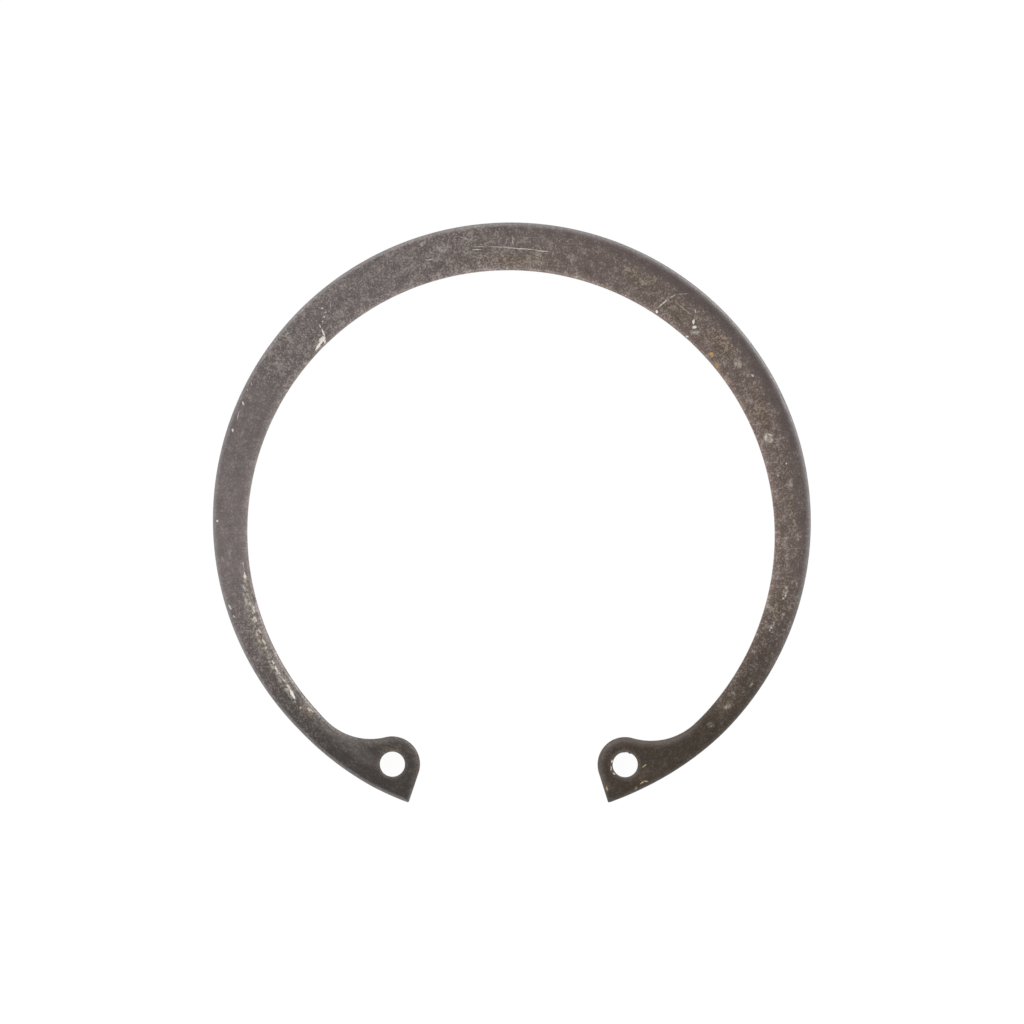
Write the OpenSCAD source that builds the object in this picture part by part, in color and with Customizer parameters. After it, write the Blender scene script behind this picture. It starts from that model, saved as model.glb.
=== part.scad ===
// Internal circlip: a retaining ring for a groove in a bore, punched from spring steel strip.
// It lies flat on the plane Z = 0. Z is its axis, the origin is the centre of its outer rim,
// and the gap between its two lugs points along -Y.

/* [Band] */
// Outer diameter of the free ring, before pliers squeeze it into its groove
free_d = 90.5; // [86:0.5:95]
// Thickness of the strip
thickness = 3; // [2:0.25:4]
// Width of the band at its back, opposite the gap
back_width = 7.2; // [6.4:0.1:8]
// Width that the taper would come down to on the gap's centre line
front_width = 3.4; // [3:0.1:4]

/* [Lugs] */
// Height of a lug, measured inwards from the outer rim
lug_height = 8.6; // [8:0.1:8.7]
// Distance from the outer rim to the centre of a plier hole; the lug's end is rounded about that centre
hole_inset = 4.4; // [4.4:0.05:4.8]
// Diameter of a plier hole
hole_d = 3.8; // [3:0.1:4.2]
// Angle from the gap's centre line to a plier hole
hole_angle = 25.6; // [22:0.2:30]
// Angle at which the flat end face of a lug leans away from the gap's centre line
end_angle = 18; // [12:0.5:20]
// Radius of the hollow that blends an arm into its lug
hollow_r = 9.6; // [7:0.2:11]

/* [Edges] */
// Rounding of the edges on the upper face, where the punch drew the steel down
upper_edge_r = 0.5; // [0.2:0.05:0.8]
// Rounding of the edges on the lower face, tumbled after punching
lower_edge_r = 0.25; // [0.1:0.05:0.5]
// Rounding of both edges of a plier hole
hole_edge_r = 0.25; // [0.1:0.05:0.4]

/* [Hidden] */
$fn = 180;

rim_r = free_d / 2;
bore_r = rim_r - (back_width + front_width) / 2;
bore_centre = [0, (front_width - back_width) / 2];
lug_r = lug_height - hole_inset;
hole_centre = (rim_r - hole_inset) * [sin(hole_angle), -cos(hole_angle)];
// Two curves that blend run this far past each other, too little to see or feel, so that they meet in
// a clean line
bore_bite = 0.02;
lug_bite = 0.01;
hollow_centre = circles_meet(hole_centre, lug_r + hollow_r - lug_bite, bore_centre, bore_r - hollow_r + bore_bite);
// Along the end face, away from the ring's centre
end_way = [sin(end_angle), -cos(end_angle)];
// Out of the end face, into the gap
end_out = [-cos(end_angle), -sin(end_angle)];
past = 1;

// Where two circles meet, on the right of the way from the first centre to the second
function circles_meet(a, ra, b, rb) =
    let (d = norm(b - a), u = (b - a) / d, along = (ra * ra - rb * rb + d * d) / (2 * d))
    a + along * u + sqrt(ra * ra - along * along) * [u.y, -u.x];

function unit(v) = v / norm(v);

// What an edge rounded to radius r gives away: the steel lies towards +X and +Y of the origin
module edge_waste(r) {
    difference() {
        translate([-r, -past])
            square([2 * r, r + past]);
        translate([r, r])
            circle(r);
    }
}

// What both rounded edges of a punched wall at X = 0 give away
module wall_edges(lower = lower_edge_r, upper = upper_edge_r) {
    edge_waste(lower);
    translate([0, thickness])
        mirror([0, 1])
            edge_waste(upper);
}

// Section of the strip from X = 0 to a punched wall at X = reach
module strip_section(reach) {
    difference() {
        square([reach, thickness]);
        translate([reach, 0])
            mirror([1, 0])
                wall_edges();
    }
}

// Section of the opening from X = 0 to a punched wall at X = reach
module opening_section(reach, lower = lower_edge_r, upper = upper_edge_r) {
    translate([0, -past])
        square([reach, thickness + 2 * past]);
    translate([reach, 0])
        wall_edges(lower, upper);
}

// Punch for a round opening
module round_punch(r, lower = lower_edge_r, upper = upper_edge_r) {
    rotate_extrude()
        opening_section(r, lower, upper);
}

// Half of the band: round outside and round inside, but off centre, so that it tapers towards the gap
module band() {
    difference() {
        rotate_extrude()
            strip_section(rim_r);
        translate(bore_centre)
            round_punch(bore_r);
        translate([-free_d, -free_d, -past])
            cube([free_d, 2 * free_d, thickness + 2 * past]);
    }
}

// Web that joins the lug to the arm, before the hollow and the gap are punched
module web() {
    middle = front_width / 2;
    gap_side = hole_centre + (lug_r + past) * end_out;
    linear_extrude(height = thickness)
        polygon([
            hole_centre,
            gap_side,
            gap_side + (hole_inset - middle) * end_way,
            (rim_r - middle) * unit(hole_centre),
            bore_centre + (bore_r + middle) * unit(hollow_centre - bore_centre),
            hollow_centre
        ]);
}

module hollow() {
    translate(hollow_centre)
        round_punch(hollow_r);
}

// The gap, from beyond its centre line to the end face
module gap() {
    reach = rim_r;
    translate(hole_centre + (lug_r - lug_bite) * end_out - 2 * lug_height * end_way)
        rotate([90, 0, end_angle])
            translate([-reach, 0, 0])
                linear_extrude(height = 4 * lug_height)
                    opening_section(reach);
}

module lug_end() {
    translate(hole_centre)
        rotate_extrude()
            strip_section(lug_r);
}

module plier_hole() {
    translate(hole_centre)
        round_punch(hole_d / 2, hole_edge_r, hole_edge_r);
}

module half() {
    difference() {
        union() {
            difference() {
                union() {
                    band();
                    web();
                }
                hollow();
                gap();
            }
            lug_end();
        }
        plier_hole();
    }
}

module circlip() {
    color("dimgray") {
        half();
        mirror([1, 0, 0])
            half();
    }
}

circlip();
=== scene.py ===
"""An internal circlip in worn, phosphated spring steel, lying flat and seen from straight above."""

import math

import bmesh
import bpy
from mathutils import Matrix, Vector


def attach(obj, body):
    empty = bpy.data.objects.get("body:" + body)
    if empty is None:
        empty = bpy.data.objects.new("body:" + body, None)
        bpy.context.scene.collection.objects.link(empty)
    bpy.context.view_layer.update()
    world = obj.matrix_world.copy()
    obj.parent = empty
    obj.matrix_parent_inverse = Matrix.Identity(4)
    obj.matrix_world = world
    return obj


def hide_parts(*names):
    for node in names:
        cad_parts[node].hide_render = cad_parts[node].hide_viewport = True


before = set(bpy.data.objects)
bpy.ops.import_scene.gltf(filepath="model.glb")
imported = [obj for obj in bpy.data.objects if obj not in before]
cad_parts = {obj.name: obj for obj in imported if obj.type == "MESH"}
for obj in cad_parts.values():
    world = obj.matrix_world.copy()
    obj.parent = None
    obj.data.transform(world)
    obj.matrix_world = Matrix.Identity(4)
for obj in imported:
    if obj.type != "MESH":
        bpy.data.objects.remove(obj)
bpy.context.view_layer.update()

MM = 0.001

# Sizes of the ring in mm, the same as in the part's source
THICKNESS = 3.0
RIM_R = 45.25
BORE_R = 39.95
BORE_CENTRE = Vector((0, -1.9))
LUG_R = 4.2
HOLE_INSET = 4.4
HOLE_R = 1.9
HOLE_ANGLE = math.radians(25.6)
END_ANGLE = math.radians(18)
HOLLOW_R = 9.6
LOWER_EDGE_R = 0.25
HOLE_EDGE_R = 0.25
# Tumbling has eased the corner between rim and end face
CORNER_R = 0.22

# Widths of the roll-over that the punch left on the upper edge
RIM_ROLL = 0.6
END_ROLL = 0.45
LUG_ROLL = 1.0
BORE_ROLL = 0.6
# Where the bore's roll-over is wider: angle from the back and reach to either side, both in degrees,
# and extra width in mm
WIDER_ROLLS = [(-124, 26, 0.6), (112, 24, 0.2)]
# How far from the corner the ways out still lean towards its mitre
MITRE_REACH = 2.6

# A ring that has been in use is a little out of round. How far in mm the rim and the bore stand further
# out than their circles: a steady part, then the cosine and sine of the angle from the back, and of
# twice it
RIM_SET = (0.01, 0.08, 0.0, -0.04, -0.09)
BORE_SET = (-0.03, 0.056, -0.125, -0.03, -0.155)
# How far the right and the left lug have moved, and the angles from the back between which the band's
# set goes over into theirs
LUG_SETS = {1: Vector((-0.11, 0.17)), -1: Vector((-0.08, -0.11))}
LUG_SET_STARTS = math.radians(135)
LUG_SET_ENDS = math.radians(153)
# Burrs that a plier tip raised in the right hole: heading in degrees, height and width in mm
HOLE_BURRS = [(71, 0.16, 0.17), (96, 0.05, 0.3)]

# Distance in mm between the stations along an outline, and how many go round the corner and a hole
STATION = 0.32
CORNER_STATIONS = 4
HOLE_STATIONS = 56
# The roll-over's width is evened out over so many stations on either side
EVENED_OVER = 9


# Outlines

def heading(way):
    return math.atan2(way.y, way.x)


def towards(angle):
    return Vector((math.cos(angle), math.sin(angle)))


def circles_meet(a, ra, b, rb):
    """Where two circles meet, on the right of the way from the first centre to the second."""
    way = b - a
    d = way.length
    along = (ra * ra - rb * rb + d * d) / (2 * d)
    way.normalize()
    return a + along * way + math.sqrt(ra * ra - along * along) * Vector((way.y, -way.x))


HOLE_CENTRE = (RIM_R - HOLE_INSET) * towards(HOLE_ANGLE - math.pi / 2)
HOLLOW_CENTRE = circles_meet(HOLE_CENTRE, LUG_R + HOLLOW_R, BORE_CENTRE, BORE_R - HOLLOW_R)
END_WAY = towards(END_ANGLE - math.pi / 2)
END_OUT = towards(END_ANGLE + math.pi)


def arc_stations(centre, radius, start, stop, hollow, roll):
    """Stations along an arc between two headings. Each one has its place, the way out of the steel
    and the width of the edge's roll-over; a hollow arc has the steel outside it."""
    count = max(2, round(abs(stop - start) * radius / STATION))
    stations = []
    for i in range(count):
        way = towards(start + (stop - start) * i / count)
        stations.append((centre + radius * way, -way if hollow else way, roll))
    return stations


def line_stations(start, stop, out, roll):
    count = max(2, round((stop - start).length / STATION))
    return [(start.lerp(stop, i / count), out, roll) for i in range(count)]


def half_outline():
    """The right half of the outline, from the back along the rim, round the lug and back along the
    bore."""
    end_start = HOLE_CENTRE + LUG_R * END_OUT
    # The eased corner's centre
    deep = end_start - CORNER_R * END_OUT
    before = deep.dot(END_WAY)
    along = math.sqrt(before ** 2 - deep.length_squared + (RIM_R - CORNER_R) ** 2) - before
    corner = deep + along * END_WAY
    rim_stop = heading(corner)
    corner_stop = heading(END_OUT)
    lug_stop = heading(HOLLOW_CENTRE - HOLE_CENTRE)
    bore_start = heading(HOLLOW_CENTRE - BORE_CENTRE)
    mitre = (towards(rim_stop) + END_OUT) / (1 + towards(rim_stop).dot(END_OUT))

    def leaning(stations):
        """Near the corner the ways out lean towards its mitre, so that inset edges keep it."""
        leant = []
        for place, out, roll in stations:
            from_corner = max(0.0, (place - corner).length - CORNER_R)
            lean = max(0.0, 1 - from_corner / MITRE_REACH)
            leant.append((place, out + lean * (mitre - mitre.dot(out) * out), roll))
        return leant

    rim = arc_stations(Vector((0, 0)), RIM_R, math.pi / 2, rim_stop, False, RIM_ROLL)
    turn = []
    for i in range(CORNER_STATIONS):
        way = towards(rim_stop + (corner_stop - rim_stop) * i / CORNER_STATIONS)
        turn.append((corner + CORNER_R * way, mitre, END_ROLL))
    end = line_stations(corner + CORNER_R * END_OUT, end_start, END_OUT, END_ROLL)
    lug = arc_stations(HOLE_CENTRE, LUG_R, corner_stop + 2 * math.pi, lug_stop, False, LUG_ROLL)
    hollow = arc_stations(HOLLOW_CENTRE, HOLLOW_R, lug_stop - math.pi, bore_start, True, LUG_ROLL)
    bore = arc_stations(BORE_CENTRE, BORE_R, bore_start, math.pi / 2, True, BORE_ROLL)
    return leaning(rim) + turn + leaning(end) + lug + hollow + bore


def with_set(place, terms):
    """Where a point of the true outline lies on the used ring."""
    angle = math.atan2(place.x, place.y)
    near_lug = min(1.0, max(0.0, (abs(angle) - LUG_SET_STARTS) / (LUG_SET_ENDS - LUG_SET_STARTS)))
    waves = (1, math.cos(angle), math.sin(angle), math.cos(2 * angle), math.sin(2 * angle))
    further_out = sum(term * wave for term, wave in zip(terms, waves))
    lug_set = LUG_SETS[1 if place.x > 0 else -1]
    return place + (1 - near_lug) * further_out * place.normalized() + near_lug * lug_set


def wider_by(place):
    """What the roll-over of an inner edge has in extra width at a point."""
    angle = math.degrees(math.atan2(place.x, place.y))
    return sum(extra * max(0.0, 1 - ((angle - at) / reach) ** 2) for at, reach, extra in WIDER_ROLLS)


def ring_outline():
    right = half_outline()
    left = [(Vector((-p.x, p.y)), Vector((-o.x, o.y)), roll) for p, o, roll in reversed(right[1:])]
    ring = []
    for place, out, roll in right + left:
        if out.dot(place) > 0 and place.length > RIM_R - CORNER_R:
            ring.append((with_set(place, RIM_SET), out, roll))
        else:
            ring.append((with_set(place, BORE_SET), out, roll + wider_by(place)))
    return ring


def hole_outline(side, burrs=()):
    """The plier hole on the right, at side 1, or on the left, at -1."""
    centre = Vector((side * HOLE_CENTRE.x, HOLE_CENTRE.y)) + LUG_SETS[side]
    stations = []
    for i in range(HOLE_STATIONS):
        angle = 2 * math.pi * i / HOLE_STATIONS
        radius = HOLE_R
        for at, height, width in burrs:
            off = math.remainder(angle - math.radians(at), 2 * math.pi) * HOLE_R
            radius -= height * math.exp(-(off / width) ** 2)
        stations.append((centre + radius * towards(angle), -towards(angle), HOLE_EDGE_R))
    return stations


def outline_mesh(name, outlines):
    """Closed loops of edges in mm, with the way out of the steel and the roll-over on each point."""
    mesh = bpy.data.meshes.new(name)
    places, ways, rolls, edges = [], [], [], []
    for stations in outlines:
        first, count = len(places), len(stations)
        for i, (place, out, _) in enumerate(stations):
            near = [stations[(i + k) % count][2] for k in range(-EVENED_OVER, EVENED_OVER + 1)]
            places.append((place.x, place.y, 0))
            ways.append((out.x, out.y, 0))
            rolls.append(sum(near) / len(near))
            edges.append((first + i, first + (i + 1) % count))
    mesh.from_pydata(places, edges, [])
    way = mesh.attributes.new("outward", "FLOAT_VECTOR", "POINT")
    way.data.foreach_set("vector", [v for w in ways for v in w])
    roll = mesh.attributes.new("roll", "FLOAT", "POINT")
    roll.data.foreach_set("value", rolls)
    return in_scene(name, mesh)


def in_scene(name, data):
    made = bpy.data.objects.new(name, data)
    bpy.context.collection.objects.link(made)
    return made


# Short ways to build node trees

def socket(tree, way, name, kind, value=None):
    made = tree.interface.new_socket(name, in_out=way, socket_type="NodeSocket" + kind)
    if value is not None:
        made.default_value = value


def spaced(names):
    """The same dictionary, with spaces for the underscores in its keys."""
    return {name.replace("_", " "): value for name, value in names.items()}


class Nodes:
    """Adds nodes to one tree, and links or sets what goes into them."""

    def __init__(self, tree):
        self.tree = tree

    def feed(self, into, value):
        if isinstance(value, bpy.types.NodeSocket):
            self.tree.links.new(value, into)
        else:
            into.default_value = value

    def add(self, kind, inputs=(), **settings):
        node = self.tree.nodes.new(kind)
        for name, value in settings.items():
            setattr(node, name, value)
        for name, value in dict(inputs).items():
            self.feed(node.inputs[name], value)
        return node

    def group(self, tree, **inputs):
        return self.add("ShaderNodeGroup", spaced(inputs), node_tree=tree).outputs

    def _operate(self, kind, operation, values):
        node = self.add(kind, operation=operation)
        for into, value in zip(node.inputs, values):
            self.feed(into, value)
        return node

    def math(self, operation, *values):
        return self._operate("ShaderNodeMath", operation, values).outputs[0]

    def _chain(self, operation, first, others):
        for other in others:
            first = self.math(operation, first, other)
        return first

    def total(self, first, *others):
        return self._chain("ADD", first, others)

    def less(self, first, *others):
        return self._chain("SUBTRACT", first, others)

    def product(self, first, *others):
        return self._chain("MULTIPLY", first, others)

    def greatest(self, first, *others):
        return self._chain("MAXIMUM", first, others)

    def vector(self, operation, *values):
        node = self._operate("ShaderNodeVectorMath", operation, values)
        return node.outputs["Value" if operation in ("LENGTH", "DISTANCE") else "Vector"]

    def scaled(self, vector, scale):
        node = self.add("ShaderNodeVectorMath", {"Scale": scale}, operation="SCALE")
        self.feed(node.inputs[0], vector)
        return node.outputs[0]

    def axes(self, vector):
        return self.add("ShaderNodeSeparateXYZ", {0: vector}).outputs

    def point(self, x=0.0, y=0.0, z=0.0):
        return self.add("ShaderNodeCombineXYZ", {"X": x, "Y": y, "Z": z}).outputs[0]

    def span(self, value, low, high, out_low=0.0, out_high=1.0, smooth=False):
        """Value from low to high, as out_low to out_high, and no further."""
        return self.add("ShaderNodeMapRange", {
            "Value": value, "From Min": low, "From Max": high, "To Min": out_low, "To Max": out_high,
        }, interpolation_type="SMOOTHSTEP" if smooth else "LINEAR").outputs[0]

    def noise(self, place, scale, seed=0.0, detail=2.0, roughness=0.5):
        return self.add("ShaderNodeTexNoise", {
            "Vector": place, "W": seed, "Scale": scale, "Detail": detail, "Roughness": roughness,
        }, noise_dimensions="4D").outputs[0]

    def mix(self, factor, a, b):
        node = self.add("ShaderNodeMix", data_type="RGBA")
        for index, value in ((0, factor), (6, a), (7, b)):
            self.feed(node.inputs[index], value)
        return node.outputs[2]


# The punched edge

# Sizes in mm. The strip broke away below the break's height, and the wall above it was cut smooth. A lip
# is one ring of the flat face beside the edge
EDGE_SIZES = {
    "Thickness": THICKNESS,
    "Lower rounding": LOWER_EDGE_R,
    "Roll depth": 0.72,
    "Deepest roll": 0.5,
    "Lip": 0.16,
    "Break height": 1.25,
    "Break wander": 0.45,
    "Break softness": 0.12,
    "Break depth": 0.045,
    "Break roughness": 0.05,
    "Striation": 0.012,
    "Nick depth": 0.16,
    "Weld distance": 0.0005,
    "Seed": 4.0,
    "Metres": MM,
}
EDGE_STEPS = {"Lower steps": 4, "Wall steps": 13, "Roll steps": 7, "Lip steps": 3}
QUARTER_TURN = math.pi / 2


def stored(n, geometry, name, value, **more):
    return n.add("GeometryNodeStoreNamedAttribute", {
        "Geometry": geometry, "Name": name, "Value": value, **more,
    }, data_type="FLOAT", domain="POINT").outputs[0]


def swept_rows(n, outline, count):
    """Draws edges up from the outline, row after row in one place, and numbers the rows."""
    start = n.add("GeometryNodeRepeatInput")
    stop = n.add("GeometryNodeRepeatOutput")
    start.pair_with_output(stop)
    stop.repeat_items.new("BOOLEAN", "Front")
    n.feed(start.inputs["Iterations"], count)
    n.feed(start.inputs["Geometry"], outline)
    n.feed(start.inputs["Front"], True)
    drawn = n.add("GeometryNodeExtrudeMesh", {
        "Mesh": start.outputs["Geometry"], "Selection": start.outputs["Front"], "Offset Scale": 0.0,
    }, mode="EDGES")
    top = drawn.outputs["Top"]
    row = n.total(start.outputs["Iteration"], 1.0)
    n.feed(stop.inputs["Geometry"], stored(n, drawn.outputs["Mesh"], "row", row, Selection=top))
    n.feed(stop.inputs["Front"], top)
    return stop.outputs["Geometry"]


def wall_wear(n, given, roll_turn):
    """Where the wall is broken, how deep a nick in the roll-over is, and how far all of it stands back:
    the strip broke away roughly below a wandering line and was dragged smooth above it."""
    place = n.add("GeometryNodeInputPosition").outputs[0]
    seed = given["Seed"]
    wander = n.less(n.noise(n.vector("MULTIPLY", place, (1, 1, 0)), 0.3, seed), 0.5)
    height = n.total(given["Break height"], n.product(given["Break wander"], wander, 2.0))
    broken = n.span(n.axes(place)["Z"], n.less(height, given["Break softness"]),
                    n.total(height, given["Break softness"]), 1.0, 0.0, smooth=True)
    torn = n.product(given["Break roughness"], n.noise(place, 1.7, seed, 3.0, 0.6))
    drag = n.noise(n.vector("MULTIPLY", place, (1, 1, 0.08)), 2.2, n.total(seed, 3.0), 1.0)
    smear = n.product(given["Striation"], drag, n.less(1.0, broken))
    nicked = n.span(n.noise(place, 0.28, n.total(seed, 7.0)), 0.64, 0.8)
    nick = n.product(given["Nick depth"], nicked, n.math("SINE", n.product(roll_turn, 2.0)))
    inward = n.total(n.product(broken, n.total(given["Break depth"], torn)), smear, nick)
    return broken, nick, inward


def punched_edge_tree():
    """Sweeps each outline up the wall of the strip: lower rounding, rough break, smooth shear zone and
    upper roll-over. Then it closes the two faces."""
    tree = bpy.data.node_groups.new("punched edge", "GeometryNodeTree")
    socket(tree, "INPUT", "Geometry", "Geometry")
    for name, value in EDGE_SIZES.items():
        socket(tree, "INPUT", name, "Float", value)
    for name, value in EDGE_STEPS.items():
        socket(tree, "INPUT", name, "Int", value)
    socket(tree, "INPUT", "Material", "Material")
    socket(tree, "OUTPUT", "Geometry", "Geometry")
    n = Nodes(tree)
    given = n.add("NodeGroupInput").outputs

    def attribute(name, kind="FLOAT"):
        node = n.add("GeometryNodeInputNamedAttribute", {"Name": name}, data_type=kind)
        return node.outputs["Attribute"]

    # Rows of the sweep at which the lower rounding, the wall, the roll-over and the lip end
    low_end = n.total(given["Lower steps"], 1.0)
    wall_end = n.total(low_end, given["Wall steps"])
    roll_end = n.total(wall_end, given["Roll steps"])
    last = n.total(roll_end, given["Lip steps"])
    rows = swept_rows(n, given["Geometry"], last)
    row, roll, outward = attribute("row"), attribute("roll"), attribute("outward", "FLOAT_VECTOR")

    # How high each row is, and how far inside the outline
    low_turn = n.span(row, 1.0, low_end, 0.0, QUARTER_TURN)
    roll_turn = n.span(row, wall_end, roll_end, 0.0, QUARTER_TURN)
    depth = n.math("MINIMUM", n.product(roll, given["Roll depth"]), given["Deepest roll"])
    wall = n.less(given["Thickness"], given["Lower rounding"], depth)
    height = n.total(
        n.product(given["Lower rounding"], n.less(1.0, n.math("COSINE", low_turn))),
        n.span(row, low_end, wall_end, 0.0, wall),
        n.product(depth, n.math("SINE", roll_turn)),
    )
    upper_lips = n.product(n.span(row, roll_end, last), given["Lip steps"])
    lips = n.total(n.span(row, 0.0, 1.0, 1.0, 0.0), upper_lips)
    inset = n.total(
        n.product(given["Lower rounding"], n.less(1.0, n.math("SINE", low_turn))),
        n.product(roll, n.less(1.0, n.math("COSINE", roll_turn))),
        n.product(given["Lip"], lips),
    )

    def moved(geometry, inward, up):
        offset = n.vector("SUBTRACT", n.point(z=up), n.scaled(outward, inward))
        return n.add("GeometryNodeSetPosition", {"Geometry": geometry, "Offset": offset}).outputs[0]

    swept = moved(rows, inset, height)
    broken, nick, inward = wall_wear(n, given, roll_turn)
    worn = moved(swept, inward, n.product(nick, -0.5))
    # 1 on the wall, down to 0 where the flat face begins
    reach = n.total(roll, n.product(given["Lip"], given["Lip steps"]))
    brink = n.product(n.span(n.math("DIVIDE", inset, reach), 0.0, 1.0, 1.0, 0.0), n.span(row, 0.0, 1.0))
    walls = stored(n, stored(n, worn, "fracture", broken), "brink", brink)

    def face(at_row, level):
        edge = n.add("GeometryNodeMeshToCurve", {
            "Mesh": walls, "Selection": n.math("COMPARE", row, at_row, 0.1)}).outputs[0]
        flat = n.add("GeometryNodeFillCurve", {"Curve": edge}).outputs[0]
        return n.add("GeometryNodeSetPosition", {"Geometry": flat, "Offset": n.point(z=level)}).outputs[0]

    lower = n.add("GeometryNodeFlipFaces", {"Mesh": face(0.0, 0.0)}).outputs[0]
    joined = n.add("GeometryNodeJoinGeometry")
    for part in (walls, face(last, given["Thickness"]), lower):
        n.feed(joined.inputs[0], part)
    closed = n.add("GeometryNodeMergeByDistance", {
        "Geometry": joined.outputs[0], "Distance": given["Weld distance"]}).outputs[0]
    sized = n.add("GeometryNodeTransform", {
        "Geometry": closed, "Scale": n.scaled((1, 1, 1), given["Metres"])}).outputs[0]
    real = n.add("GeometryNodeRealizeInstances", {"Geometry": sized}).outputs[0]
    dressed = n.add("GeometryNodeSetMaterial", {"Geometry": real, "Material": given["Material"]}).outputs[0]
    n.add("NodeGroupOutput", {"Geometry": dressed})
    return tree


def punched_ring(name, material):
    blank = outline_mesh("blank", [ring_outline(), hole_outline(-1), hole_outline(1, HOLE_BURRS)])
    sweep = blank.modifiers.new("punched edge", "NODES")
    sweep.node_group = punched_edge_tree()
    for item in sweep.node_group.interface.items_tree:
        if item.in_out == "INPUT" and item.name == "Material":
            sweep[item.identifier] = material
    evaluated = blank.evaluated_get(bpy.context.evaluated_depsgraph_get())
    mesh = bpy.data.meshes.new_from_object(evaluated)
    mesh.name = name
    bpy.data.objects.remove(blank)
    work = bmesh.new()
    work.from_mesh(mesh)
    bmesh.ops.recalc_face_normals(work, faces=work.faces)
    work.to_mesh(mesh)
    work.free()
    for spare in ("outward", "roll", "row"):
        if spare in mesh.attributes:
            mesh.attributes.remove(mesh.attributes[spare])
    return in_scene(name, mesh)


# Node groups of the finish

class ShaderGroup(Nodes):
    """A node group with named inputs, each with its usual value, and named outputs."""

    def __init__(self, name, **inputs):
        super().__init__(bpy.data.node_groups.new(name, "ShaderNodeTree"))
        for given, value in spaced(inputs).items():
            socket(self.tree, "INPUT", given, "Float" if isinstance(value, float) else "Vector", value)
        self.given = self.add("NodeGroupInput").outputs

    def give(self, **outputs):
        for name in spaced(outputs):
            socket(self.tree, "OUTPUT", name, "Float")
        self.add("NodeGroupOutput", spaced(outputs))
        return self.tree


def ring_place_group():
    """Where a point is on the band: its distances from the rim and from the bore, and its angle in
    degrees from the back of the ring, clockwise as seen from above."""
    g = ShaderGroup("ring place", Point=(0.0, 0.0, 0.0))
    flat = g.vector("MULTIPLY", g.given["Point"], (1, 1, 0))
    axes = g.axes(flat)
    from_rim = g.less(RIM_R, g.vector("LENGTH", flat))
    from_bore = g.less(g.vector("DISTANCE", flat, (*BORE_CENTRE, 0)), BORE_R)
    angle = g.math("DEGREES", g.math("ARCTAN2", axes["X"], axes["Y"]))
    return g.give(From_rim=from_rim, From_bore=from_bore, Angle=angle)


def stretch_group():
    """A stretch of the band: within a width about a distance from one edge, between two angles."""
    g = ShaderGroup("stretch of band", Distance=0.0, Middle=1.0, Width=1.0, Angle=0.0, Start=-10.0,
                    Stop=10.0, Feather=4.0)
    v = g.given
    off = g.math("ABSOLUTE", g.less(v["Distance"], v["Middle"]))
    half = g.product(v["Width"], 0.5)
    across = g.span(off, g.product(half, 0.3), half, 1.0, 0.0, smooth=True)
    begun = g.span(v["Angle"], v["Start"], g.total(v["Start"], v["Feather"]), smooth=True)
    ended = g.span(v["Angle"], g.less(v["Stop"], v["Feather"]), v["Stop"], 1.0, 0.0, smooth=True)
    return g.give(Mask=g.product(across, begun, ended))


def mark_group():
    """One scratch, fleck or stain: a long or round spot, turned to its heading."""
    g = ShaderGroup("mark", Point=(0.0, 0.0, 0.0), Centre=(0.0, 0.0, 0.0), Turn=0.0, Length=1.0,
                    Width=1.0, Softness=0.5, Strength=1.0)
    v = g.given
    turned = g.add("ShaderNodeVectorRotate", {
        "Vector": g.vector("SUBTRACT", v["Point"], v["Centre"]),
        "Angle": g.product(v["Turn"], -math.pi / 180),
    }, rotation_type="Z_AXIS").outputs[0]
    # So deep that only the distance across the face counts
    halves = g.point(g.product(v["Length"], 0.5), g.product(v["Width"], 0.5), 1e6)
    reach = g.vector("LENGTH", g.vector("DIVIDE", turned, halves))
    mask = g.span(reach, g.less(1.0, v["Softness"]), 1.0, 1.0, 0.0, smooth=True)
    return g.give(Mask=g.product(mask, v["Strength"]))


def mottle_group():
    """Uneven phosphate: soft patches and crystal grain, both about 0."""
    g = ShaderGroup("mottle", Point=(0.0, 0.0, 0.0), Patch_size=1.5, Grain_size=0.25, Seed=0.0)
    v = g.given

    def about_zero(noise):
        return g.math("MULTIPLY_ADD", noise, 4.0, -2.0)

    patches = g.noise(v["Point"], g.math("DIVIDE", 1.0, v["Patch size"]), v["Seed"], 4.0, 0.6)
    grain = g.noise(v["Point"], g.math("DIVIDE", 1.0, v["Grain size"]), g.total(v["Seed"], 5.0), 2.0, 0.7)
    return g.give(Patches=about_zero(patches), Grain=about_zero(grain))


def flecks_group():
    """Crisp light flecks with ragged outlines; Density sets how much of the surface they cover."""
    g = ShaderGroup("flecks", Point=(0.0, 0.0, 0.0), Size=0.26, Density=0.0, Seed=0.0)
    v = g.given
    level = g.noise(v["Point"], g.math("DIVIDE", 1.0, v["Size"]), v["Seed"], 2.0, 0.65)
    # The noise shows as fleck above this bar
    bar = g.math("MULTIPLY_ADD", v["Density"], -0.07, 0.56)
    return g.give(Mask=g.span(g.less(level, bar), -0.015, 0.035))


def edge_group():
    """Rounded edges, and the punched walls, from the way the surface faces."""
    g = ShaderGroup("edge", Normal=(0.0, 0.0, 1.0))
    facing = g.math("ABSOLUTE", g.axes(g.given["Normal"])["Z"])
    off_wall = g.span(facing, 0.0, 0.2, smooth=True)
    off_flat = g.span(facing, 0.45, 0.97, 1.0, 0.0, smooth=True)
    wall = g.span(facing, 0.1, 0.4, 1.0, 0.0, smooth=True)
    return g.give(Rounded=g.product(off_wall, off_flat), Wall=wall)


# The finish

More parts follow.
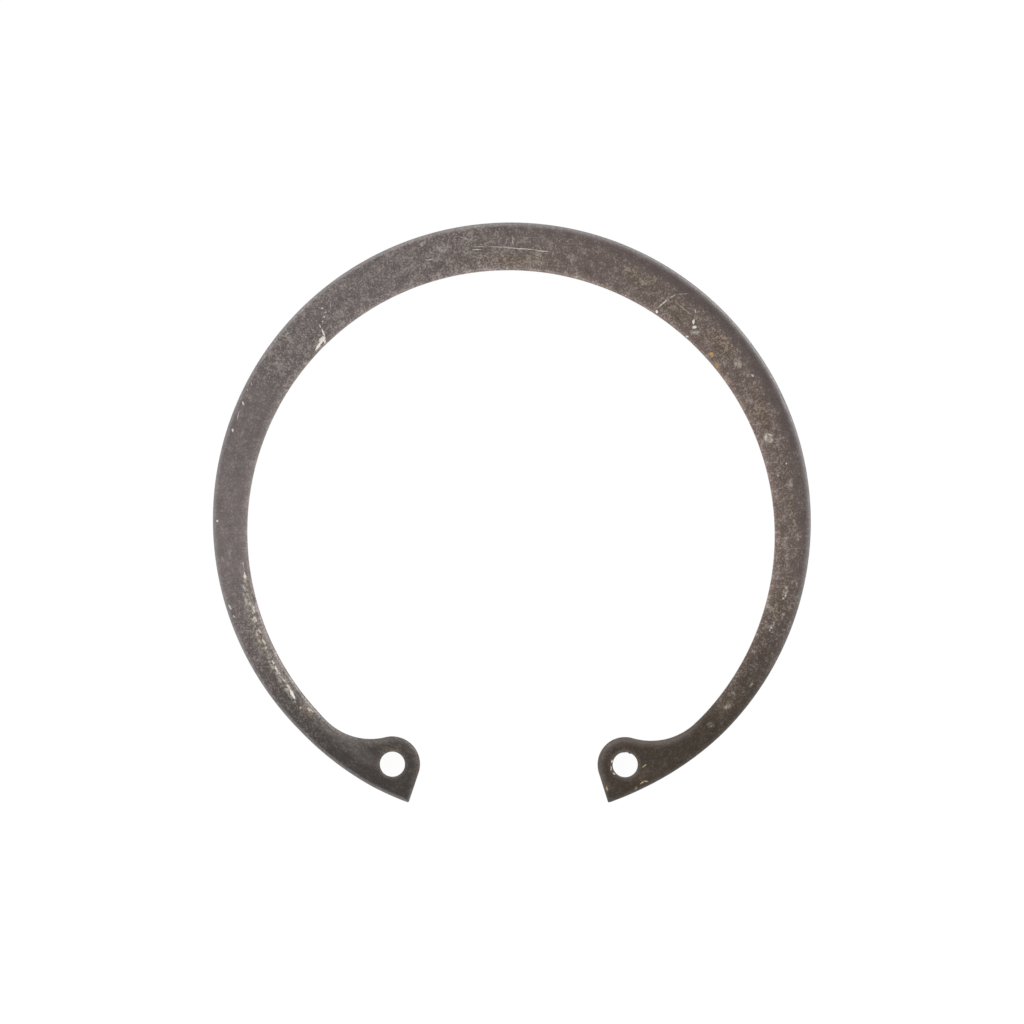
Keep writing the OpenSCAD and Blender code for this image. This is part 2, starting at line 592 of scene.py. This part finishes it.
# Marks on the upper face, in mm: x, y, heading in degrees, length, width and strength
SCRATCHES = [
    (-5.47, 41.55, 2, 2.5, 0.15, 0.6), (-5.7, 41.11, 1, 2.0, 0.17, 0.8),
    (-1.9, 41.52, -1, 5.6, 0.14, 0.6), (1.1, 41.3, -2.5, 5.6, 0.17, 0.95),
    (4.2, 40.98, -4, 3.0, 0.16, 1), (3.31, 40.4, -32, 0.8, 0.16, 0.5),
    (-7.65, 42.81, -18, 2.4, 0.2, 0.4), (-0.3, 42.6, 89, 1.7, 0.13, 0.8),
    (2.2, 43.0, 0, 4.5, 0.1, 0.25), (22.55, 33.25, 42, 2.6, 0.26, 0.9),
    (24.02, 34.33, 30, 1.4, 0.2, 0.6), (25.55, 34.72, 4, 2.2, 0.13, 0.45),
    (25.6, 32.55, -38, 3.9, 0.13, 0.55), (27.48, 32.11, 88, 0.8, 0.2, 0.8),
    (27.25, 30.6, 85, 1.5, 0.17, 0.7), (-12.79, 39.53, 10, 1.5, 0.16, 0.7),
    (-27.8, 32.33, 85, 2.0, 0.13, 0.5), (-10.6, 40.9, 40, 0.8, 0.15, 0.5),
]
BARE = [
    (-29.42, 26.45, 56, 2.3, 0.42, 1), (-28.98, 27.3, 48, 1.4, 0.85, 1),
    (-28.62, 27.05, 100, 0.9, 0.4, 0.8), (-28.85, 28.3, 114, 1.5, 0.26, 1),
    (-29.3, 29.3, 110, 0.7, 0.2, 0.7), (-28.94, 30.0, 50, 0.4, 0.2, 0.7),
    (-28.75, 30.74, 140, 0.4, 0.25, 0.7), (-28.5, 31.4, 30, 0.45, 0.2, 0.5),
    (-29.03, 32.01, 0, 0.4, 0.3, 0.7), (21.6, 31.99, 90, 0.5, 0.4, 1),
    (26.28, 28.29, 0, 0.55, 0.35, 0.65), (27.35, 29.71, 20, 0.8, 0.5, 1),
    (27.2, 30.55, 90, 0.8, 0.4, 1), (-40.87, 17.51, -78, 0.7, 0.3, 0.9),
    (-41.62, 15.6, 76, 1.5, 0.13, 0.7), (-42.43, 13.38, 90, 0.6, 0.35, 0.9),
    (-39.66, 20.46, 90, 0.4, 0.2, 0.4), (-40.21, 19.52, 90, 0.4, 0.2, 0.4),
    (-44.61, -0.37, 90, 0.5, 0.38, 0.9), (-42.55, -13.4, -61, 1.0, 0.34, 0.75),
    (-41.93, -14.82, -57, 0.6, 0.22, 0.6), (-34.2, 28.2, 0, 0.3, 0.25, 0.6),
    (41.47, 9.21, 90, 0.35, 0.25, 0.6), (40.25, 7.34, 90, 0.35, 0.25, 0.5),
    (36.23, 22.46, -26, 0.6, 0.35, 0.6), (41.58, -10.85, 60, 0.4, 0.26, 0.8),
    (41.22, -11.25, -50, 0.4, 0.24, 0.7), (41.65, -9.6, 30, 0.45, 0.22, 0.5),
    (41.2, -10.25, 80, 0.35, 0.22, 0.4), (39.42, -15.7, 80, 0.4, 0.24, 0.75),
    (39.22, -16.1, -50, 0.4, 0.24, 0.6), (39.6, -16.35, 20, 0.35, 0.2, 0.5),
    (15.49, -36.12, 89, 0.5, 0.22, 0.8), (15.4, -37.2, 85, 0.9, 0.14, 0.8),
    (15.83, -38.02, -47, 0.6, 0.18, 0.7), (-32.95, -26.5, -63, 1.8, 0.45, 1),
]
RESIDUE = [
    (-32.97, -26.45, -63, 1.9, 0.42, 1), (-33.6, -25.3, -58, 1.3, 0.34, 0.9),
    (-34.25, -24.4, -56, 0.8, 0.3, 0.8), (-35.27, -22.91, -57, 1.7, 0.38, 0.95),
    (-35.99, -21.71, -63, 1.0, 0.28, 0.9), (-37.37, -18.6, -68, 1.3, 0.24, 0.7),
    (-38.05, -16.94, -68, 1.0, 0.24, 0.75), (-38.7, -15.2, -66, 1.4, 0.24, 0.7),
    (-38.95, -13.6, -70, 1.6, 0.3, 0.8), (-40.46, -10.32, -70, 1.0, 0.26, 0.6),
    (-40.34, -8.69, -81, 1.6, 0.42, 0.85), (-40.6, -7.0, -84, 1.4, 0.22, 0.45),
    (-31.69, -28.47, -36, 0.45, 0.35, 0.8), (-30.27, -28.88, -37, 1.5, 0.4, 0.45),
    (38.35, 13.2, 80, 1.3, 0.5, 0.55), (39.1, 13.5, -20, 1.2, 0.45, 0.5),
    (39.15, 12.6, 40, 1.2, 0.45, 0.45), (27.68, 28.93, 20, 1.1, 0.5, 0.3),
]
OLD_OIL = [
    (20.44, -36.8, 39, 1.1, 0.24, 0.9), (20.1, -39.36, 42, 0.95, 0.28, 1),
    (20.75, -39.12, 2, 0.8, 0.28, 1), (14.8, -40.3, -76, 1.1, 0.34, 0.7),
    (19.2, -40.2, 60, 1.0, 0.5, 0.3),
]
PALE = [
    (38.8, 13.05, -50, 2.5, 1.9, 0.7), (34.05, 24.14, -40, 2.0, 1.3, 1),
    (41.97, 5.97, -70, 2.4, 1.3, 0.6), (41.43, -2.54, 89, 3.4, 0.9, 0.7),
    (41.61, -5.0, 89, 2.4, 1.0, 0.55), (43.44, -1.9, 80, 2.0, 1.5, 0.55),
    (41.6, -10.3, 75, 2.6, 1.0, 0.95), (43.28, -9.0, 80, 1.0, 0.7, 0.8),
    (41.23, -13.61, 10, 0.9, 0.6, 0.8), (39.6, -15.3, 60, 1.8, 0.8, 0.9),
    (42.2, -15.2, 70, 1.8, 0.5, 0.5), (33.78, -25.65, -44, 1.1, 0.8, 0.8),
    (32.87, -27.67, 40, 1.5, 1.0, 0.75), (30.35, -30.56, -23, 1.7, 1.2, 0.45),
    (36.55, -24.23, 60, 1.4, 0.5, 0.6), (17.06, 38.5, -36, 2.2, 0.8, 0.6),
    (19.5, 36.6, -30, 2.6, 1.4, 0.4), (-13.9, 41.9, 0, 1.6, 0.9, 0.6),
    (-11.57, 41.15, -15, 2.2, 0.9, 0.55), (-18.2, 41.0, 25, 1.5, 0.6, 0.5),
    (27.28, 28.86, 0, 1.3, 0.8, 0.6), (-42.65, -5.08, -26, 0.9, 1.2, 0.5),
    (-43.72, -6.2, -60, 1.2, 0.5, 0.5), (-36.57, -25.15, -30, 0.9, 0.5, 0.5),
    (3.0, 39.2, 0, 5.0, 1.4, 0.4), (-26.4, 31.3, 40, 3.4, 1.6, 0.35), (8.8, 40.0, -10, 2.2, 1.6, 0.4),
]
BROWN = [
    (18.9, 36.9, -30, 10.0, 4.2, 1), (24.3, 32.3, -38, 6.0, 3.4, 0.8), (31.6, 27.3, -50, 8.5, 4.0, 0.9),
    (37.4, 17.0, -66, 11.0, 3.0, 0.8), (1.0, 39.6, 0, 17.0, 3.2, 0.8), (33.0, -27.3, 48, 9.0, 3.4, 0.8),
    (40.8, -12.0, 75, 12.0, 3.6, 0.7), (42.3, 2.0, 88, 12.0, 2.0, 0.4),
    (-17.8, -34.6, -20, 7.0, 3.0, 0.5), (-30.8, -29.2, -42, 5.0, 2.0, 0.9),
    (-37.9, -17.8, -65, 11.0, 1.8, 0.6), (20.5, -38.0, 30, 9.0, 2.6, 0.4),
    (-39.7, -10.5, -75, 6.0, 1.6, 0.5), (-13.6, -38.4, 80, 5.0, 2.0, 0.5),
]
RUST = [
    (30.02, 25.61, -30, 1.2, 0.8, 1), (30.88, 23.95, -54, 2.2, 0.7, 0.55),
    (32.2, 21.9, -56, 2.6, 0.5, 0.3), (34.7, 18.2, -60, 2.4, 0.4, 0.25),
    (-13.4, -36.9, -75, 3.4, 0.4, 0.25),
]

# Stretches of the band: the edge that each follows, how far from it the stretch's middle is and how wide
# it is in mm, between which angles from the back it lies, and over how many degrees it fades out
LIGHTER_LOWER_ARM = ("From bore", 0.3, 3.0, -155.0, -98.0)
LIGHTER_UPPER_ARM = ("From bore", 0.3, 2.6, -104.0, -40.0)
MAUVE_ARM = ("From rim", 3.0, 30.0, -114.0, -74.0, 14.0)
SMOOTHER_ARM = ("From rim", 3.0, 30.0, -112.0, -55.0, 14.0)
SCORED_ARM = ("From bore", 0.7, 2.2, -152.0, -96.0)
CRUSTED_ARM = ("From bore", 1.3, 1.3, -136.0, -98.0)
SPECKLED_LEFT = ("From rim", 4.0, 14.0, -66.0, -38.0)
SPECKLED_BACK = ("From rim", 4.0, 14.0, -26.0, 2.0)
LIGHTLY_HANDLED = ("From rim", 3.5, 9.0, 8.0, 46.0)

# The band is darkest towards the lugs up to the first of these places along Y, and lightens up to the
# second
DARKEST_TO = -31.0
DARK_ENDS = -4.0
# Handling has polished the band this far in from the rim: fully, and at the most
HANDLED_TO = 1.5
HANDLED_AT_MOST = 2.9

STEEL_COOL = (0.166, 0.141, 0.135, 1)
STEEL_WARM = (0.160, 0.119, 0.102, 1)
STEEL_DARK_GREY = (0.051, 0.043, 0.037, 1)
STEEL_DARK_BROWN = (0.050, 0.037, 0.025, 1)
HANDLED = (0.116, 0.092, 0.086, 1)
LIGHTER = (0.185, 0.165, 0.152, 1)
LILAC_GREY = (0.148, 0.124, 0.122, 1)
MAUVE = (0.197, 0.164, 0.160, 1)
BROWN_FILM = (0.125, 0.096, 0.069, 1)
PINK_FLECK = (0.34, 0.285, 0.26, 1)
TAN_FLECK = (0.37, 0.285, 0.215, 1)
PALE_FILM = (0.46, 0.41, 0.36, 1)
DRIED_FILM = (0.76, 0.72, 0.62, 1)
DRIED_OIL = (0.62, 0.50, 0.25, 1)
RUST_SPOT = (0.50, 0.31, 0.09, 1)
BARE_STEEL = (0.80, 0.75, 0.70, 1)
# Cool light grey of the upper edges: partly rubbed steel, partly painted reflection of the white
# surroundings
BURNISH_AND_SHEEN = (0.365, 0.352, 0.356, 1)


class WornSteel(Nodes):
    """The tree of the worn finish, with what its layers share: where a point is and which way it faces, the
    noise that breaks marks up, and where the ring is darker towards the lugs, brown, handled or smooth."""

    def __init__(self, tree):
        super().__init__(tree)
        tree.nodes.clear()
        self.stretch_tree, self.mark_tree, self.flecks_tree = stretch_group(), mark_group(), flecks_group()
        texture = self.add("ShaderNodeTexCoord").outputs
        self.place = self.scaled(texture["Object"], 1 / MM)
        self.x, self.y, self.z = self.axes(self.place)
        self.at = self.group(ring_place_group(), Point=self.place)
        self.to_lug = self.math("ABSOLUTE", self.at["Angle"])
        self.rim_side = self.span(self.less(self.at["From rim"], self.at["From bore"]), -1.0, 1.0, 1.0, 0.0)
        self.upper = self.span(self.axes(texture["Normal"])["Z"], 0.2, 0.6)
        self.edge = self.group(edge_group(), Normal=texture["Normal"])
        self.broken = self.add("ShaderNodeAttribute", attribute_name="fracture").outputs["Fac"]
        self.brink = self.add("ShaderNodeAttribute", attribute_name="brink").outputs["Fac"]

        mottle = self.group(mottle_group(), Point=self.place)
        self.patches, self.grain = mottle["Patches"], mottle["Grain"]
        self.crumbs = self.noise(self.place, 2.6, 2.0, 2.0, 0.6)
        # Marks have ragged outlines, so they are drawn on a shaken point
        shaking = self.add("ShaderNodeTexNoise", {"Vector": self.place, "Scale": 2.2, "Detail": 2.0})
        shaking = self.vector("SUBTRACT", shaking.outputs["Color"], (0.5, 0.5, 0.5))
        self.shaken = self.vector("ADD", self.place, self.scaled(shaking, 0.55))
        self.hardly_shaken = self.vector("ADD", self.place, self.scaled(shaking, 0.25))

        self.wander = self.product(self.less(self.noise(self.place, 0.12, 3.0), 0.5), 30.0)
        self.on_left = self.span(self.x, -10.0, 10.0, 1.0, 0.0)
        height = self.total(self.y, self.product(self.wander, 0.5), self.product(self.on_left, 9.0))
        # Darker towards the lugs, reaching lower on the left
        self.dark_to_lugs = self.span(height, DARKEST_TO, DARK_ENDS, 1.0, 0.0, smooth=True)
        self.brown = self.marks(BROWN, 0.9)
        # Handling has polished a ragged band along the rim
        from_rim = self.total(self.at["From rim"], self.product(self.patches, 0.35))
        beside_rim = self.product(self.span(from_rim, HANDLED_TO, HANDLED_AT_MOST, 1.0, 0.0, smooth=True),
                                  self.span(self.at["Angle"], -10.0, 30.0),
                                  self.span(self.at["Angle"], 65.0, 130.0, 1.0, 0.0))
        self.handled = self.greatest(beside_rim, self.product(self.along(*LIGHTLY_HANDLED), 0.22))
        # The left arm stayed smoother than the rest
        self.smoother = self.product(self.less(1.0, self.product(self.along(*SMOOTHER_ARM), 0.45)),
                                     self.span(self.handled, 0.0, 1.0, 1.0, 0.55))

    def marks(self, table, softness, crisp=False):
        """All the marks of one kind, as one mask on the upper face."""
        point = self.hardly_shaken if crisp else self.shaken
        mask = 0.0
        for x, y, turn, length, width, strength in table:
            spot = self.group(self.mark_tree, Point=point, Centre=(x, y, 0.0), Turn=float(turn),
                              Length=length, Width=width, Softness=softness, Strength=float(strength))
            mask = self.greatest(mask, spot[0])
        return self.product(mask, self.upper)

    def along(self, edge, middle, width, start, stop, feather=8.0):
        """A stretch of the band, about a distance from one of its edges."""
        return self.group(self.stretch_tree, Distance=self.at[edge], Middle=middle, Width=width,
                          Angle=self.at["Angle"], Start=start, Stop=stop, Feather=feather)[0]

    def flecks(self, density, size, seed):
        return self.group(self.flecks_tree, Point=self.place, Size=size, Density=density, Seed=seed)[0]


def ground_tones(n):
    """Cool grey on the left, browner on the right, darker towards the lugs."""
    steel = n.mix(n.span(n.total(n.x, n.wander), -14.0, 22.0), STEEL_COOL, STEEL_WARM)
    steel = n.mix(n.product(n.dark_to_lugs, 0.95), steel, n.mix(n.on_left, STEEL_DARK_BROWN, STEEL_DARK_GREY))
    lighter = n.total(n.product(n.along(*LIGHTER_LOWER_ARM), 0.38),
                      n.product(n.along(*LIGHTER_UPPER_ARM), 0.4))
    steel = n.mix(lighter, steel, LIGHTER)
    steel = n.mix(n.product(n.along(*MAUVE_ARM), 0.7), steel, MAUVE)
    steel = n.mix(n.product(n.brown, n.span(n.patches, -1.2, 0.6)), steel, BROWN_FILM)
    return n.mix(n.product(n.handled, 0.9), steel, HANDLED)


def grain_and_flecks(n, steel):
    """Uneven crystals, lines drawn out along the band by grinding and handling, and light flecks. It
    also gives the finest flecks as a mask."""
    around = n.point(n.at["From rim"], n.product(n.at["Angle"], 0.16), n.z)
    lines = n.noise(around, 2.4, 6.0, 2.0, 0.6)
    drawn = n.product(n.less(lines, 0.5), n.total(0.42, n.product(n.along(*SCORED_ARM), 2.2)))
    speckled = n.greatest(n.along(*SPECKLED_LEFT), n.along(*SPECKLED_BACK))
    steel = n.scaled(steel, n.span(speckled, 0.0, 1.0, 1.0, 0.92))
    unevenness = n.total(n.product(n.patches, 0.25), n.product(n.grain, 0.5), drawn)
    calmer = n.product(n.smoother, n.span(n.dark_to_lugs, 0.3, 1.0, 1.0, 0.6))
    steel = n.scaled(steel, n.greatest(n.total(1.0, n.product(unevenness, calmer)), 0.4))

    density = n.total(n.product(n.patches, n.span(n.brown, 0.0, 1.0, 1.1, 0.5)), n.product(n.brown, 0.6),
                      n.product(n.handled, -1.0), n.product(speckled, 0.35))
    fine = n.flecks(density, 0.26, 11.0)
    coarse = n.flecks(n.total(density, -0.9), 0.55, 23.0)
    bright = n.flecks(n.total(density, -1.6), 0.24, 37.0)
    dimmed = n.span(n.dark_to_lugs, 0.3, 1.0, 1.0, 0.15)
    fleck = n.product(n.greatest(fine, n.product(coarse, 1.2)), n.smoother, dimmed, 0.7)
    steel = n.mix(fleck, steel, n.mix(n.brown, PINK_FLECK, TAN_FLECK))
    return n.mix(n.product(bright, n.smoother, dimmed, 0.8), steel, PALE_FILM), fine


def lug_rolls(n, steel):
    """The rolled strip round the lugs stands out, lighter than their darker flats."""
    rolled = n.product(n.span(n.brink, 0.02, 0.8, smooth=True), n.span(n.to_lug, 134.0, 142.0),
                       n.less(1.0, n.rim_side), n.span(n.on_left, 0.0, 1.0, 0.34, 0.2))
    return n.mix(rolled, steel, LILAC_GREY)


def films_and_marks(n, steel, fine):
    """What lies on top or is cut in: pale blotches, rust, dried oil, scratches, residue and bare spots.
    It also gives masks of the blotches with rust and film, of the film and of the bare spots."""
    pale = n.product(n.marks(PALE, 0.8), n.greatest(n.span(n.crumbs, 0.46, 0.58, 0.2, 1.0), fine))
    steel = n.mix(n.product(pale, 0.9), steel, PALE_FILM)
    rust = n.product(n.marks(RUST, 0.9), n.span(n.crumbs, 0.3, 0.5, 0.5, 1.0))
    steel = n.mix(rust, steel, RUST_SPOT)
    dried_oil = n.product(n.marks(OLD_OIL, 0.7, crisp=True), n.span(n.crumbs, 0.35, 0.5, 0.5, 1.0))
    steel = n.mix(dried_oil, steel, DRIED_OIL)
    crest = n.span(n.noise(n.place, 1.9, 31.0, 2.0, 0.7), 0.47, 0.6)
    streak = n.product(n.along(*CRUSTED_ARM), crest, n.upper)
    film = n.greatest(n.product(n.marks(RESIDUE, 0.5), n.span(n.crumbs, 0.36, 0.48, 0.25, 1.0)),
                      n.product(streak, 0.45))
    scratched = n.product(n.marks(SCRATCHES, 0.6, crisp=True), n.span(n.crumbs, 0.3, 0.5, 0.5, 1.0))
    steel = n.mix(n.greatest(scratched, film), steel, DRIED_FILM)
    bare = n.marks(BARE, 0.35, crisp=True)
    return n.mix(bare, steel, BARE_STEEL), n.greatest(rust, film, pale), film, bare


def rubbed_and_sheened_edges(n, steel):
    """Edges lighter, partly rubbed and partly a painted reflection of the white surroundings: cool and
    bright at the rim, softer and in the steel's own colour inside.
    """
    patchy = n.span(n.crumbs, 0.32, 0.62, 0.62, 1.2)
    # The painted reflection is full on the upper edges and weak on the lower ones
    high = n.span(n.z, 1.5, 2.5, 0.15, 1.0, smooth=True)
    spared = n.product(n.span(n.dark_to_lugs, 0.0, 1.0, 1.0, n.total(0.35, n.product(n.on_left, 0.35))),
                       n.span(n.at["Angle"], 85.0, 125.0, 1.0, 0.5))
    # The rim's light line, partly rubbed and partly painted reflection, is narrower on the left and near
    # the lugs
    narrow = n.greatest(n.span(n.to_lug, 115.0, 140.0, 0.2, 0.4),
                        n.span(n.at["Angle"], -20.0, 10.0, 0.4, 0.2))
    # Painted reflection on the rim's roll-over, with some real rubbing
    rim_rub_and_sheen = n.product(n.span(n.brink, narrow, 0.9), n.span(n.at["Angle"], -25.0, 25.0, 0.54, 0.62),
                        spared, n.rim_side)
    steel = n.mix(n.product(rim_rub_and_sheen, patchy, high), steel, BURNISH_AND_SHEEN)
    # Painted light on the bore's edge, with some real rubbing: the steel there is made lighter
    bore_rub_and_sheen = n.total(n.span(n.brink, 0.0, 0.55, 0.0, 0.28), n.span(n.brink, 0.6, 1.0, 0.0, 0.2))
    bore_rub_and_sheen = n.product(bore_rub_and_sheen, n.less(1.0, n.rim_side), patchy, high)
    return n.scaled(steel, n.total(1.0, bore_rub_and_sheen))


def punched_wall(n, steel):
    """The wall is drawn smooth and striped above, and broken and darker below."""
    stripes = n.noise(n.vector("MULTIPLY", n.place, (1, 1, 0.05)), 3.2, 41.0, 3.0, 0.7)
    smooth_wall = n.scaled(steel, n.span(stripes, 0.3, 0.7, 0.85, 1.35))
    broken_wall = n.scaled(n.mix(0.25, steel, STEEL_DARK_GREY), n.span(n.crumbs, 0.3, 0.7, 0.7, 1.05))
    return n.mix(n.edge["Wall"], steel, n.mix(n.broken, smooth_wall, broken_wall))


def worn_phosphate():
    material = bpy.data.materials.new("worn phosphated steel")
    material.use_nodes = True
    n = WornSteel(material.node_tree)
    steel, fine = grain_and_flecks(n, ground_tones(n))
    steel, coated, film, bare = films_and_marks(n, lug_rolls(n, steel), fine)
    steel = punched_wall(n, rubbed_and_sheened_edges(n, steel))
    roughness = n.total(0.44, n.product(n.patches, 0.03), n.product(n.grain, 0.04),
                        n.product(n.edge["Rounded"], -0.06), n.product(coated, 0.25),
                        n.product(n.broken, 0.12))
    relief = n.total(n.product(n.grain, 0.012), n.product(n.patches, 0.02), n.product(film, 0.03),
                     n.product(bare, -0.04))
    bump = n.add("ShaderNodeBump", {"Strength": 0.6, "Distance": MM, "Height": relief})
    shader = n.add("ShaderNodeBsdfPrincipled", {
        "Base Color": steel,
        "Metallic": n.span(coated, 0.0, 1.0, 0.55, 0.0),
        "Roughness": roughness,
        "Normal": bump.outputs[0],
    })
    n.add("ShaderNodeOutputMaterial", {"Surface": shader.outputs[0]})
    return material


# The stage, in metres

# Width of the picture at the height of the ring's upper face
PHOTO_WIDTH = 0.15505
CAMERA_HEIGHT = 1.5
CAMERA_AIM = (0.000007, 0.001433)
CAMERA_TURN = math.radians(0.575)
SENSOR = 36.0
FLOOR_REACH = 3.0
# The floor lies this far below the ring, so that their faces don't touch
FLOOR_LEVEL = -0.00004
FLOOR_COLOUR = (0.9, 0.9, 0.9, 1)
WHITE = (1, 1, 1, 1)


def photo_camera():
    data = bpy.data.cameras.new("camera")
    data.sensor_width = SENSOR
    data.lens = SENSOR * (CAMERA_HEIGHT - THICKNESS * MM) / PHOTO_WIDTH
    data.clip_start = 0.01
    camera = in_scene("camera", data)
    camera.location = (*CAMERA_AIM, CAMERA_HEIGHT)
    camera.rotation_euler = (0, 0, CAMERA_TURN)
    bpy.context.scene.camera = camera


def seen_as_background(n):
    """1 for the rays that should find a plain white background."""
    path = n.add("ShaderNodeLightPath").outputs
    seen = n.total(path["Is Camera Ray"], path["Is Glossy Ray"], path["Is Transmission Ray"])
    return n.math("MINIMUM", seen, 1.0)


def white_floor():
    mesh = bpy.data.meshes.new("floor")
    square = ((-1, -1), (1, -1), (1, 1), (-1, 1))
    corners = [(x * FLOOR_REACH, y * FLOOR_REACH, FLOOR_LEVEL) for x, y in square]
    mesh.from_pydata(corners, [], [(0, 1, 2, 3)])
    material = bpy.data.materials.new("white floor")
    material.use_nodes = True
    material.node_tree.nodes.clear()
    n = Nodes(material.node_tree)
    lit = n.add("ShaderNodeBsdfDiffuse", {"Color": FLOOR_COLOUR})
    white = n.add("ShaderNodeEmission", {"Color": WHITE, "Strength": 1.05})
    shown = n.add("ShaderNodeMixShader", {"Fac": n.product(seen_as_background(n), 0.92)})
    n.feed(shown.inputs[1], lit.outputs[0])
    n.feed(shown.inputs[2], white.outputs[0])
    n.add("ShaderNodeOutputMaterial", {"Surface": shown.outputs[0]})
    mesh.materials.append(material)
    return in_scene("floor", mesh)


def white_room(strength, overhead):
    """Light from all round, white down to the floor and greyer overhead, where the room opens for the
    camera."""
    world = bpy.data.worlds.new("white room")
    world.use_nodes = True
    world.node_tree.nodes.clear()
    n = Nodes(world.node_tree)
    camera_ray = n.add("ShaderNodeLightPath").outputs["Is Camera Ray"]
    height = n.axes(n.add("ShaderNodeTexCoord").outputs["Generated"])["Z"]
    walls = n.span(height, 0.35, 0.95, 1.0, overhead, smooth=True)
    shown = n.greatest(camera_ray, n.product(seen_as_background(n), walls))
    light = n.greatest(shown, n.product(walls, strength))
    room = n.add("ShaderNodeBackground", {"Color": WHITE, "Strength": light})
    n.add("ShaderNodeOutputWorld", {"Surface": room.outputs[0]})
    bpy.context.scene.world = world


def soft_lamp(name, place, size, power):
    data = bpy.data.lights.new(name, "AREA")
    data.shape = "DISK"
    data.size = size
    data.energy = power
    lamp = in_scene(name, data)
    lamp.location = place
    lamp.rotation_euler = (-Vector(place)).to_track_quat("-Z", "Y").to_euler()


photo_camera()
floor = white_floor()
white_room(0.78, 0.55)
soft_lamp("rim lamp", (0.6, 0.5, 0.42), 0.5, 2.0)
soft_lamp("back lamp", (-0.3, 0.45, 0.7), 0.6, 1.2)
soft_lamp("front lamp", (-0.2, -0.6, 0.55), 0.6, 1.2)
bpy.context.scene.view_settings.view_transform = "Standard"

ring = punched_ring("ring", worn_phosphate())
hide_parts("circlip")
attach(ring, "root")
